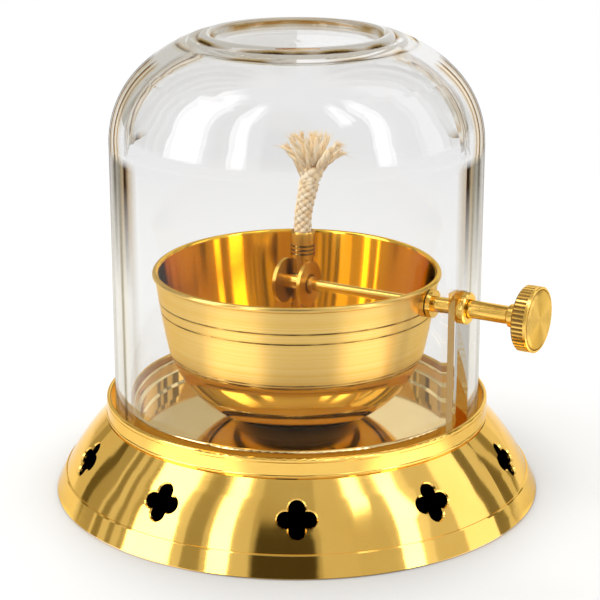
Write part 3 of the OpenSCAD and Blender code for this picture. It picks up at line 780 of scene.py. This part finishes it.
@dataclass
class OilBowl:
    """Spun oil bowl with the gland in its wall and the wick tube on its floor, in millimetres."""

    lines: tuple[Span, ...] = ((35.9, 36.3), (46.85, 47.15), (48.05, 48.35), (62.4, 62.8), (65.8, 66.2))
    satin_from: float = 47.6
    rings: tuple[Span, ...] = ((78.5, 79.0), (79.8, 80.3), (81.1, 81.6))
    shell: Names = ("oil_bowl",)
    gland: Names = ("bowl_bush", "bearing_tube", "slot_collar")
    washer: Names = ("bush_gasket",)
    tube: Names = ("wick_tube", "tube_socket", "wick_ferrule")

    def dress(self, nodes: Nodes) -> None:
        """Polishes the bowl, its gland and its wick tube.

        Args:
            nodes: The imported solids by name.
        """
        dress(nodes, self.shell, SpunBrass(
            "bowl_brass_spun_polished", TurnAxis.LAMP, roughness=0.06, spread=0.03, anisotropy=0.8,
            lacquer=0.0, satin_from_mm=self.satin_from, rough_under=True, inside="FBC84A",
            inside_roughness=0.09, groove_mm=self.lines))
        dress(nodes, self.gland, SpunBrass(
            "gland_brass_turned", TurnAxis.ROD, roughness=0.12, line_height_mm=TURNED_LINE_MM))
        dress(nodes, self.washer, FibreWasher())
        dress(nodes, self.tube, SpunBrass(
            "tube_brass_drawn", TurnAxis.LAMP, grazing="B07C34", roughness=0.2, anisotropy=0.7,
            line_height_mm=TURNED_LINE_MM, groove_mm=self.rings, wear_left=0.8))


@dataclass
class Regulator:
    """Rod with the wick wheel inside the bowl and the fluted knob outside the glass, in millimetres."""

    turned: Names = ("drive_shaft", "retaining_collar", "feed_roller", "knob_shank")
    fluted: Names = ("knob",)
    flutes_x: Span = (80.2, 84.6)
    flutes_r: Span = (10.06, 10.28)
    cheeks: Names = ("wheel_near", "wheel_far")
    boss_x: Span = (4.9, 5.15)
    boss_r: Span = (2.7, 3.7)
    face: Names = ("knob_cap",)

    def dress(self, nodes: Nodes) -> None:
        """Gives the rod its turned finish and the knob's face its spun satin grain.

        Args:
            nodes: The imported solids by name.
        """
        dress(nodes, self.turned, SpunBrass(
            "free_cutting_brass_turned", TurnAxis.ROD, roughness=0.12, line_height_mm=TURNED_LINE_MM))
        # The hollows of the flutes take the groove colour: partly tarnished metal, partly painted shade.
        dress(nodes, self.fluted, SpunBrass(
            "free_cutting_brass_fluted", TurnAxis.ROD, roughness=0.16, anisotropy=0.0,
            line_height_mm=TURNED_LINE_MM, groove_mm=(self.flutes_x,), groove_r_mm=self.flutes_r,
            wear_left=1.0))
        dress(nodes, self.cheeks, SpunBrass(
            "cheek_brass_faced", TurnAxis.ROD, bright="F0C060", deep="D8A040", roughness=0.3, lacquer=0.0,
            groove_mm=(self.boss_x,), groove_r_mm=self.boss_r, wear_left=0.8))
        dress(nodes, self.face, SpunBrass(
            "knob_face_brass_satin", TurnAxis.ROD, bright="EBC46C", deep="D9A94E", roughness=0.38,
            anisotropy=0.97, lacquer=0.0, line_mm=0.3))


@dataclass
class Wick:
    """Round braided cotton wick: twelve strands in a plain braid that loosens and frays into tufts.

    Sizes are in millimetres. The end of each tuft is given from the end of the braid: along the way that the
    wick leans, across it, and up.
    """

    tube_y: float = 3.9
    foot_z: float = 33.8
    mouth_z: float = 85.95
    sunk: float = 5.0
    straight: float = 3.9
    braid_top_z: float = 105.95
    braid_over: float = 0.6
    lean: float = 3.2
    lean_power: float = 1.3
    lean_turn_deg: float = 30.0
    loose: float = 0.3
    strands: int = 12
    strand_r: float = 0.92
    strand_swell: float = 0.12
    strand_steps: int = 200
    strand_sides: int = 10
    lay_r: float = 1.55
    lay_wave: float = 0.45
    lay_length: float = 14.4
    tuck_free: float = 0.12
    core_r: float = 2.55
    core_flat: float = 1.0
    core_taper: float = 1.5
    core_sides: int = 24
    yarns: int = 3
    yarn_r: float = 0.64
    yarn_taper: float = 0.3
    yarn_lay: float = 0.2
    yarn_reach: Span = (0.86, 1.0)
    yarn_steps: int = 24
    yarn_sides: int = 8
    yarn_shade: float = 0.5
    yarn_shade_end: float = 1.5
    yarn_shade_power: float = 0.7
    tuft_r: float = 0.6
    tuft_open: Span = (0.95, 0.5)
    tuft_root: float = 4.6
    tuft_root_share: Span = (0.12, 0.4)
    tuft_bend_share: Point = (0.36, 0.9, 0.42)
    tuft_twist: float = 6.28
    tuft_spin: float = 9.0
    tuft_curl: float = 0.5
    tuft_curl_turn: float = 4.0
    fibres: int = 26
    fibre_r: float = 0.07
    fibre_taper: float = 0.6
    fibre_length: Span = (0.8, 2.2)
    fibre_lean: Point = (0.4, 0.4, 0.3)
    fibre_bow: Point = (0.3, 0.3, 0.3)
    fibre_root: float = 0.14
    fibre_stations: tuple[float, ...] = (0, 0.3, 0.6, 0.85, 1.0)
    seed: int = 7
    ends: tuple[Point, ...] = (
        (-10.4, 0.5, 8.6), (-7.4, -2.2, 11.4), (-4.6, 2.6, 11.8), (-2.2, -2.6, 11.0), (0.4, 2.4, 12.4),
        (2.2, -1.4, 12.6), (5.4, 1.6, 11.6), (8.8, -1.8, 9.4), (9.8, 1.2, 5.6), (6.4, -2.8, 7.8))

    def build(self) -> None:
        """Braids the wick, frays its end and hides the plain solid."""
        cotton = RawCotton().build()
        points, faces = self._braid()
        braid = mesh_object("wick_braid", points, faces, cotton, [self._tuck(p) for p in points])
        points, faces, tuck = self._fray()
        fray = mesh_object("wick_fray", points, faces, cotton, tuck)
        core = mesh_object("wick_core", *self._core(), cotton)
        for piece in (braid, fray, core):
            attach(piece, "wick")
            LOG.info("made %s", piece.name)
        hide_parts("wick")

    def _rise(self, height: float) -> float:
        """Share of the way to the end of the braid, from the part that can be drawn into the tube."""
        start = self.mouth_z + self.straight
        return max(0.0, (height - start) / (self.braid_top_z - start))

    def _grown(self, height: float) -> float:
        """How many times wider the loosened braid is at a height."""
        return 1 + self.loose * self._rise(height) ** 2

    def _axis(self, height: float) -> Vector:
        """Finds the centre of the wick.

        Args:
            height: Height over the table, in millimetres.

        Returns:
            The centre there, in millimetres.
        """
        lean = self.lean * self._rise(height) ** self.lean_power
        turn = math.radians(self.lean_turn_deg)
        return Vector((lean * math.cos(turn), self.tube_y + lean * math.sin(turn), height))

    def _tuck(self, spot: Vector) -> float:
        """Tells how deep a point of the braid lies between its strands, which sets its painted shade.

        Args:
            spot: The point, in metres.

        Returns:
            Its depth, from 0 to 1.
        """
        height = spot.z / MM
        out = (spot / MM - self._axis(height)).xy.length / self._grown(height)
        flush = self.lay_r + self.lay_wave + self.strand_r - self.tuck_free
        deepest = self.lay_r - self.lay_wave + self.strand_r
        return min(1.0, max(0.0, (flush - out) / (flush - deepest)))

    def _braid(self) -> tuple[list[Vector], Faces]:
        """Lays strands that pass over and under one another round the wick.

        Returns:
            Points and faces of the strands.
        """
        paths, radii = [], []
        low, high = self.mouth_z - self.sunk, self.braid_top_z + self.braid_over
        half = self.strands // 2
        for k in range(self.strands):
            way = 1 if k < half else -1
            path, radius = [], []
            for step in range(self.strand_steps + 1):
                height = low + (high - low) * step / self.strand_steps
                grown = self._grown(height)
                turn = way * math.tau * height / self.lay_length + math.tau * (k % half) / half
                wave = math.cos(half * turn + (0 if way > 0 else math.pi))
                reach = (self.lay_r + self.lay_wave * wave) * grown
                spot = self._axis(height) + Vector((reach * math.cos(turn), reach * math.sin(turn), 0))
                path.append(spot * MM)
                radius.append(self.strand_r * grown * (1 + self.strand_swell * wave) * MM)
            paths.append(path)
            radii.append(radius)
        return tube_mesh(paths, radii, self.strand_sides)

    def _core(self) -> tuple[list[Vector], Faces]:
        """Makes the plain run inside the tube, pressed flat towards the roller, and the heart of the braid.

        Returns:
            Points and faces of the core.
        """
        points = []
        neck = self.mouth_z - self.sunk
        levels = ((self.foot_z, self.core_r, self.core_flat),
                  (neck - self.core_taper, self.core_r, self.core_flat),
                  (neck, self.lay_r, self.lay_r), (self.braid_top_z, self.lay_r, self.lay_r))
        for height, reach, pressed in levels:
            for i in range(self.core_sides):
                turn = math.tau * i / self.core_sides
                away = Vector((reach * math.cos(turn), max(reach * math.sin(turn), -pressed), 0))
                points.append((self._axis(height) + away) * MM)
        return points, ring_faces(0, len(levels), self.core_sides)

    def _fray(self) -> tuple[list[Vector], Faces, list[float]]:
        """Spreads twisted tufts from the end of the braid, each with a fuzzy tip.

        Returns:
            Points, faces, and how deep each point lies between the yarns, which sets its painted shade.
        """
        draw = random.Random(self.seed)
        turn = math.radians(self.lean_turn_deg)
        right = Vector((math.cos(turn), math.sin(turn), 0))
        away = Vector((-math.sin(turn), math.cos(turn), 0))
        up = Vector((0, 0, 1))
        paths, radii, tuck = [], [], []
        thin = [self.fibre_r * (1 - self.fibre_taper * s) * MM for s in self.fibre_stations]
        top, foot = self._axis(self.braid_top_z), self._axis(self.braid_top_z - self.tuft_root)
        root_across, root_deep = self.tuft_root_share
        bend_across, bend_deep, bend_rise = self.tuft_bend_share
        for across, deep, rise in self.ends:
            root = foot + right * across * root_across + away * deep * root_deep
            bend = top + right * across * bend_across + away * deep * bend_deep + up * rise * bend_rise
            tip = top + right * across + away * deep + up * rise
            twist, curl = draw.uniform(0, self.tuft_twist), draw.uniform(-self.tuft_curl, self.tuft_curl)
            for k in range(self.yarns):
                lay = math.tau * k / self.yarns + draw.uniform(-self.yarn_lay, self.yarn_lay)
                reach = draw.uniform(*self.yarn_reach)
                path, radius = [], []
                for step in range(self.yarn_steps + 1):
                    t = step / self.yarn_steps * reach
                    ahead = ((bend - root) * (1 - t) + (tip - bend) * t).normalized()
                    side = ahead.cross(away).normalized()
                    over = side.cross(ahead)
                    spin = twist + lay + self.tuft_spin * t
                    wide = self.tuft_r * (self.tuft_open[0] + self.tuft_open[1] * t ** 5)
                    middle = root * (1 - t) ** 2 + bend * 2 * t * (1 - t) + tip * t ** 2
                    middle = middle + right * curl * math.sin(self.tuft_curl_turn * t)
                    path.append((middle + (side * math.cos(spin) + over * math.sin(spin)) * wide) * MM)
                    radius.append(self.yarn_r * (1 - self.yarn_taper * t ** 3) * MM)
                    # Painted shade, deepest at the root of each tuft where the yarns crowd together.
                    covered_shade = max(0.0, 1 - self.yarn_shade_end * step / self.yarn_steps)
                    tuck += [self.yarn_shade * covered_shade ** self.yarn_shade_power] * self.yarn_sides
                paths.append(path)
                radii.append(radius)
                for fibre in self._fuzz(draw, path):
                    paths.append(fibre)
                    radii.append(thin)
                    tuck += [0.0] * (len(fibre) * self.yarn_sides)
        points, faces = tube_mesh(paths, radii, self.yarn_sides)
        return points, faces, tuck

    def _fuzz(self, draw: random.Random, yarn: list[Vector]) -> list[list[Vector]]:
        """Draws the loose fibres at the end of one yarn.

        Args:
            draw: Seeded source of chance.
            yarn: Centre line of the yarn, in metres.

        Returns:
            Centre lines of the fibres, in metres.
        """
        ahead = (yarn[-1] - yarn[-3]).normalized()
        paths = []
        for _ in range(self.fibres):
            lean = Vector([draw.gauss(0, spread) for spread in self.fibre_lean])
            bow = Vector([draw.gauss(0, spread) for spread in self.fibre_bow])
            long = draw.uniform(*self.fibre_length) * MM
            aside = (draw.gauss(0, self.fibre_root), draw.gauss(0, self.fibre_root), 0)
            start = yarn[-2] + Vector(aside) * MM
            paths.append([start + (ahead + lean) * long * s + bow * long * s * s
                          for s in self.fibre_stations])
        return paths


@dataclass
class GlassDome:
    """Blown dome that stands in the gallery."""

    shell: Names = ("glass_dome",)

    def dress(self, nodes: Nodes) -> None:
        """Makes the dome clear, and lets lamp light through it.

        Args:
            nodes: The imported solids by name.
        """
        dress(nodes, self.shell, BlownGlass())
        for name in self.shell:
            nodes[name].visible_shadow = False


@dataclass(frozen=True)
class Softbox:
    """Lit panel, placed by its direction from the lamp as the photograph's viewer sees it."""

    name: str
    azimuth_deg: float
    elevation_deg: float
    distance: float
    width: float
    height: float
    radiance: float


@dataclass(frozen=True)
class Patch:
    """Low part of the room that something stands before, by its direction as the viewer sees it."""

    azimuth_deg: float
    half_deg: Span
    top_deg: Span
    level: float


@dataclass
class Studio:
    """Camera, paper sweep, softboxes and the pale room round them.

    Each panel of the room is given as the direction that it starts at, from the viewer's side, and its
    level, where one is white. The room is warmer where it is darker, by a power for each of red, green
    and blue.
    """

    viewer_deg: float = -60.0
    camera_place: Point = (0.308565, -0.534450, 0.25297)
    pitch_deg: float = 17.13
    lens_mm: float = 118.38
    sensor_mm: float = 36.0
    shift_x: float = 0.0053
    aim: Point = (0.0, 0.0, 0.07)
    sweep_size: float = 8.0
    sweep_z: float = -0.1 * MM
    brightest: float = 5.0
    warmth: Point = (0.0, 0.07, 0.3)
    ceiling: float = 1.0
    ceiling_deg: Span = (64.0, 72.0)
    lean: float = 1.19
    lean_deg: Span = (20.0, 52.0)
    narrowing: float = 1.5
    patches: tuple[Patch, ...] = (
        Patch(-6.0, (15.0, 17.0), (44.0, 48.0), 0.07), Patch(39.0, (9.0, 10.0), (46.0, 49.0), 0.7))
    boxes: tuple[Softbox, ...] = (
        Softbox("left_upper", -60, 50, 1.3, 0.72, 0.54, 6.4), Softbox("behind", 180, 42, 1.4, 0.8, 0.8, 6.8))
    panels: tuple[Span, ...] = (
        (-180, 0.7), (-174, 0.45), (-166, 0.75), (-150, 0.14), (-143, 0.45), (-131, 0.85), (-128, 0.3),
        (-123, 0.82), (-118, 0.35), (-113, 0.8), (-107, 0.5), (-104, 4.5), (-74, 0.9), (-67, 0.42),
        (-55, 0.75), (-52, 4.5), (-38, 0.78), (-27, 0.55), (13, 0.74), (36, 4.5), (48, 0.75), (60, 4.5),
        (72, 1.1), (80, 0.8), (101, 1.6), (125, 0.24), (134, 0.85), (143, 0.2), (150, 0.8), (156, 0.3),
        (163, 0.95), (172, 1.1))

    def build(self) -> None:
        """Sets up the camera, the floor and the light."""
        self._camera()
        self._sweep()
        self._room()
        for box in self.boxes:
            self._softbox(box)

    def _camera(self) -> None:
        """Places the camera where the photograph was taken from."""
        plan, pitch = math.radians(self.viewer_deg + 90), math.radians(self.pitch_deg)
        right = Vector((math.cos(plan), math.sin(plan), 0))
        level = Vector((-math.sin(plan), math.cos(plan), 0))
        ahead = level * math.cos(pitch) - Vector((0, 0, math.sin(pitch)))
        above = right.cross(ahead)
        turn = Matrix((right, above, -ahead)).transposed().to_4x4()
        data = bpy.data.cameras.new("camera")
        data.lens = self.lens_mm
        data.sensor_width = self.sensor_mm
        data.shift_x = self.shift_x
        camera = bpy.data.objects.new("camera", data)
        camera.matrix_world = Matrix.Translation(self.camera_place) @ turn
        bpy.context.scene.collection.objects.link(camera)
        bpy.context.scene.camera = camera

    def _sweep(self) -> None:
        """Lays the paper that the lamp stands on."""
        half = self.sweep_size / 2
        corners = [Vector((x * half, y * half, 0)) for x, y in ((-1, -1), (1, -1), (1, 1), (-1, 1))]
        sweep = mesh_object("paper_sweep", corners, [[0, 1, 2, 3]], PaperSweep().build())
        sweep.location.z = self.sweep_z

    def _softbox(self, box: Softbox) -> None:
        """Hangs one softbox, turned to the lamp. It isn't seen itself, and the brass mirrors the room.

        Args:
            box: The softbox.
        """
        plan, rise = math.radians(self.viewer_deg + box.azimuth_deg), math.radians(box.elevation_deg)
        heading = Vector((math.cos(rise) * math.cos(plan), math.cos(rise) * math.sin(plan), math.sin(rise)))
        data = bpy.data.lights.new(box.name, "AREA")
        data.shape = "RECTANGLE"
        data.size = box.width
        data.size_y = box.height
        data.energy = box.radiance * math.pi * box.width * box.height
        lamp = bpy.data.objects.new(box.name, data)
        lamp.location = Vector(self.aim) + heading * box.distance
        lamp.rotation_euler = (lamp.location - Vector(self.aim)).to_track_quat("Z", "Y").to_euler()
        lamp.visible_camera = False
        lamp.visible_glossy = False
        lamp.visible_transmission = False
        bpy.context.scene.collection.objects.link(lamp)

    def _warm(self, level: float) -> Colour:
        """Colour of a part of the room, as a share of the brightest."""
        red, green, blue = (level * min(1.0, level) ** power / self.brightest for power in self.warmth)
        return red, green, blue, 1.0

    @staticmethod
    def _sines(span_deg: Span) -> Span:
        """Sines of the two elevations of a span."""
        return math.sin(math.radians(span_deg[0])), math.sin(math.radians(span_deg[1]))

    def _panels(self, add: Add, turn: Socket, rise: Socket) -> Socket:
        """Stands white panels and dark gaps round the lamp.

        Args:
            add: Adds a node to the world.
            turn: Direction in plan, with the viewer at one half.
            rise: Sine of the elevation.

        Returns:
            Colour of the panels.
        """
        # The panels are flat, so they stand closer to the middle of the view low down than high up.
        lean = add("MapRange", {"From": self._sines(self.lean_deg), "To": (self.lean, 1.0)}, {"Value": rise})
        aside = add("Math", {"operation": "SUBTRACT", 1: 0.5}, {0: turn})
        place = add("Math", {"operation": "MULTIPLY_ADD", 2: 0.5}, {0: aside, 1: lean})
        stops = [(azimuth / 360 + 0.5, self._warm(level)) for azimuth, level in self.panels]
        panels = add("ValToRGB", {"stops": stops}, {"Fac": place})
        panels.node.color_ramp.interpolation = "CONSTANT"
        return panels

    def _cover(self, add: Add, turn: Socket, rise: Socket, patch: Patch, shrink: Socket,
               colour: Socket) -> Socket:
        """Puts a patch before the low part of the room.

        Args:
            add: Adds a node to the world.
            turn: Direction in plan, with the viewer at one half.
            rise: Sine of the elevation.
            patch: What stands there.
            shrink: How many times narrower it is than its size.
            colour: Colour of the room.

        Returns:
            Colour of the room with the patch.
        """
        aside = add("Math", {"operation": "SUBTRACT", 1: 0.5 + patch.azimuth_deg / 360}, {0: turn})
        aside = add("Math", {"operation": "ABSOLUTE"}, {0: aside})
        aside = add("Math", {"operation": "MULTIPLY"}, {0: aside, 1: shrink})
        sides = (patch.half_deg[0] / 360, patch.half_deg[1] / 360)
        narrow = add("MapRange", {"From": sides, "To": (1.0, 0.0)}, {"Value": aside})
        low = add("MapRange", {"From": self._sines(patch.top_deg), "To": (1.0, 0.0)}, {"Value": rise})
        share = add("Math", {"operation": "MULTIPLY"}, {0: narrow, 1: low})
        return add("Mix", {"data_type": "RGBA", 7: self._warm(patch.level)}, {0: share, 6: colour}, 2)

    def _room(self) -> None:
        """Paints the room: panels, patches and a ceiling for what the brass mirrors, white for all else."""
        world = bpy.data.worlds.new("studio_room")
        world.use_nodes = True
        world.node_tree.nodes.clear()
        add = partial(add_node, world.node_tree)
        parts = add("SeparateXYZ", links={0: add("TexCoord", out="Generated")}).node.outputs
        plan = add("Math", {"operation": "ARCTAN2"}, {0: parts["Y"], 1: parts["X"]})
        ahead = 1.5 - self.viewer_deg / 360
        share = add("Math", {"operation": "MULTIPLY_ADD", 1: 1 / math.tau, 2: ahead}, {0: plan})
        turn = add("Math", {"operation": "FRACT"}, {0: share})
        colour = self._panels(add, turn, parts["Z"])
        depth = add("LightPath", out="Glossy Depth")
        # The bowl and the tray mirror each other, and each mirroring in the round bowl narrows the room.
        again = add("Math", {"operation": "GREATER_THAN", 1: MIRRORED_TWICE}, {0: depth})
        shrink = add("Math", {"operation": "MULTIPLY_ADD", 1: self.narrowing, 2: 1.0}, {0: again})
        for patch in self.patches:
            colour = self._cover(add, turn, parts["Z"], patch, shrink, colour)
        walls = add("MapRange", {"From": self._sines(self.ceiling_deg), "To": (1.0, 0.0)},
                    {"Value": parts["Z"]})
        colour = add("Mix", {"data_type": "RGBA", 6: self._warm(self.ceiling)}, {0: walls, 7: colour}, 2)
        mirrored = add("Math", {"operation": "GREATER_THAN", 1: MIRRORED_ONCE}, {0: depth})
        room = add("Background", {"Strength": self.brightest}, {"Color": colour})
        white = add("Background", {"Strength": 1.0, "Color": (1.0, 1.0, 1.0, 1.0)})
        mixed = add("MixShader", links={0: mirrored, 1: white, 2: room})
        add("OutputWorld", links={"Surface": mixed})
        bpy.context.scene.world = world


def main() -> None:
    """Builds the looks of the lamp, piece by piece."""
    logging.basicConfig(level=logging.INFO, format="%(name)s: %(message)s")
    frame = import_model()
    nodes = frame["nodes"]
    Stand().dress(nodes)
    OilBowl().dress(nodes)
    Regulator().dress(nodes)
    Wick().build()
    GlassDome().dress(nodes)
    Studio().build()
    bpy.context.scene.view_settings.view_transform = "Standard"


if __name__ == "__main__":
    main()
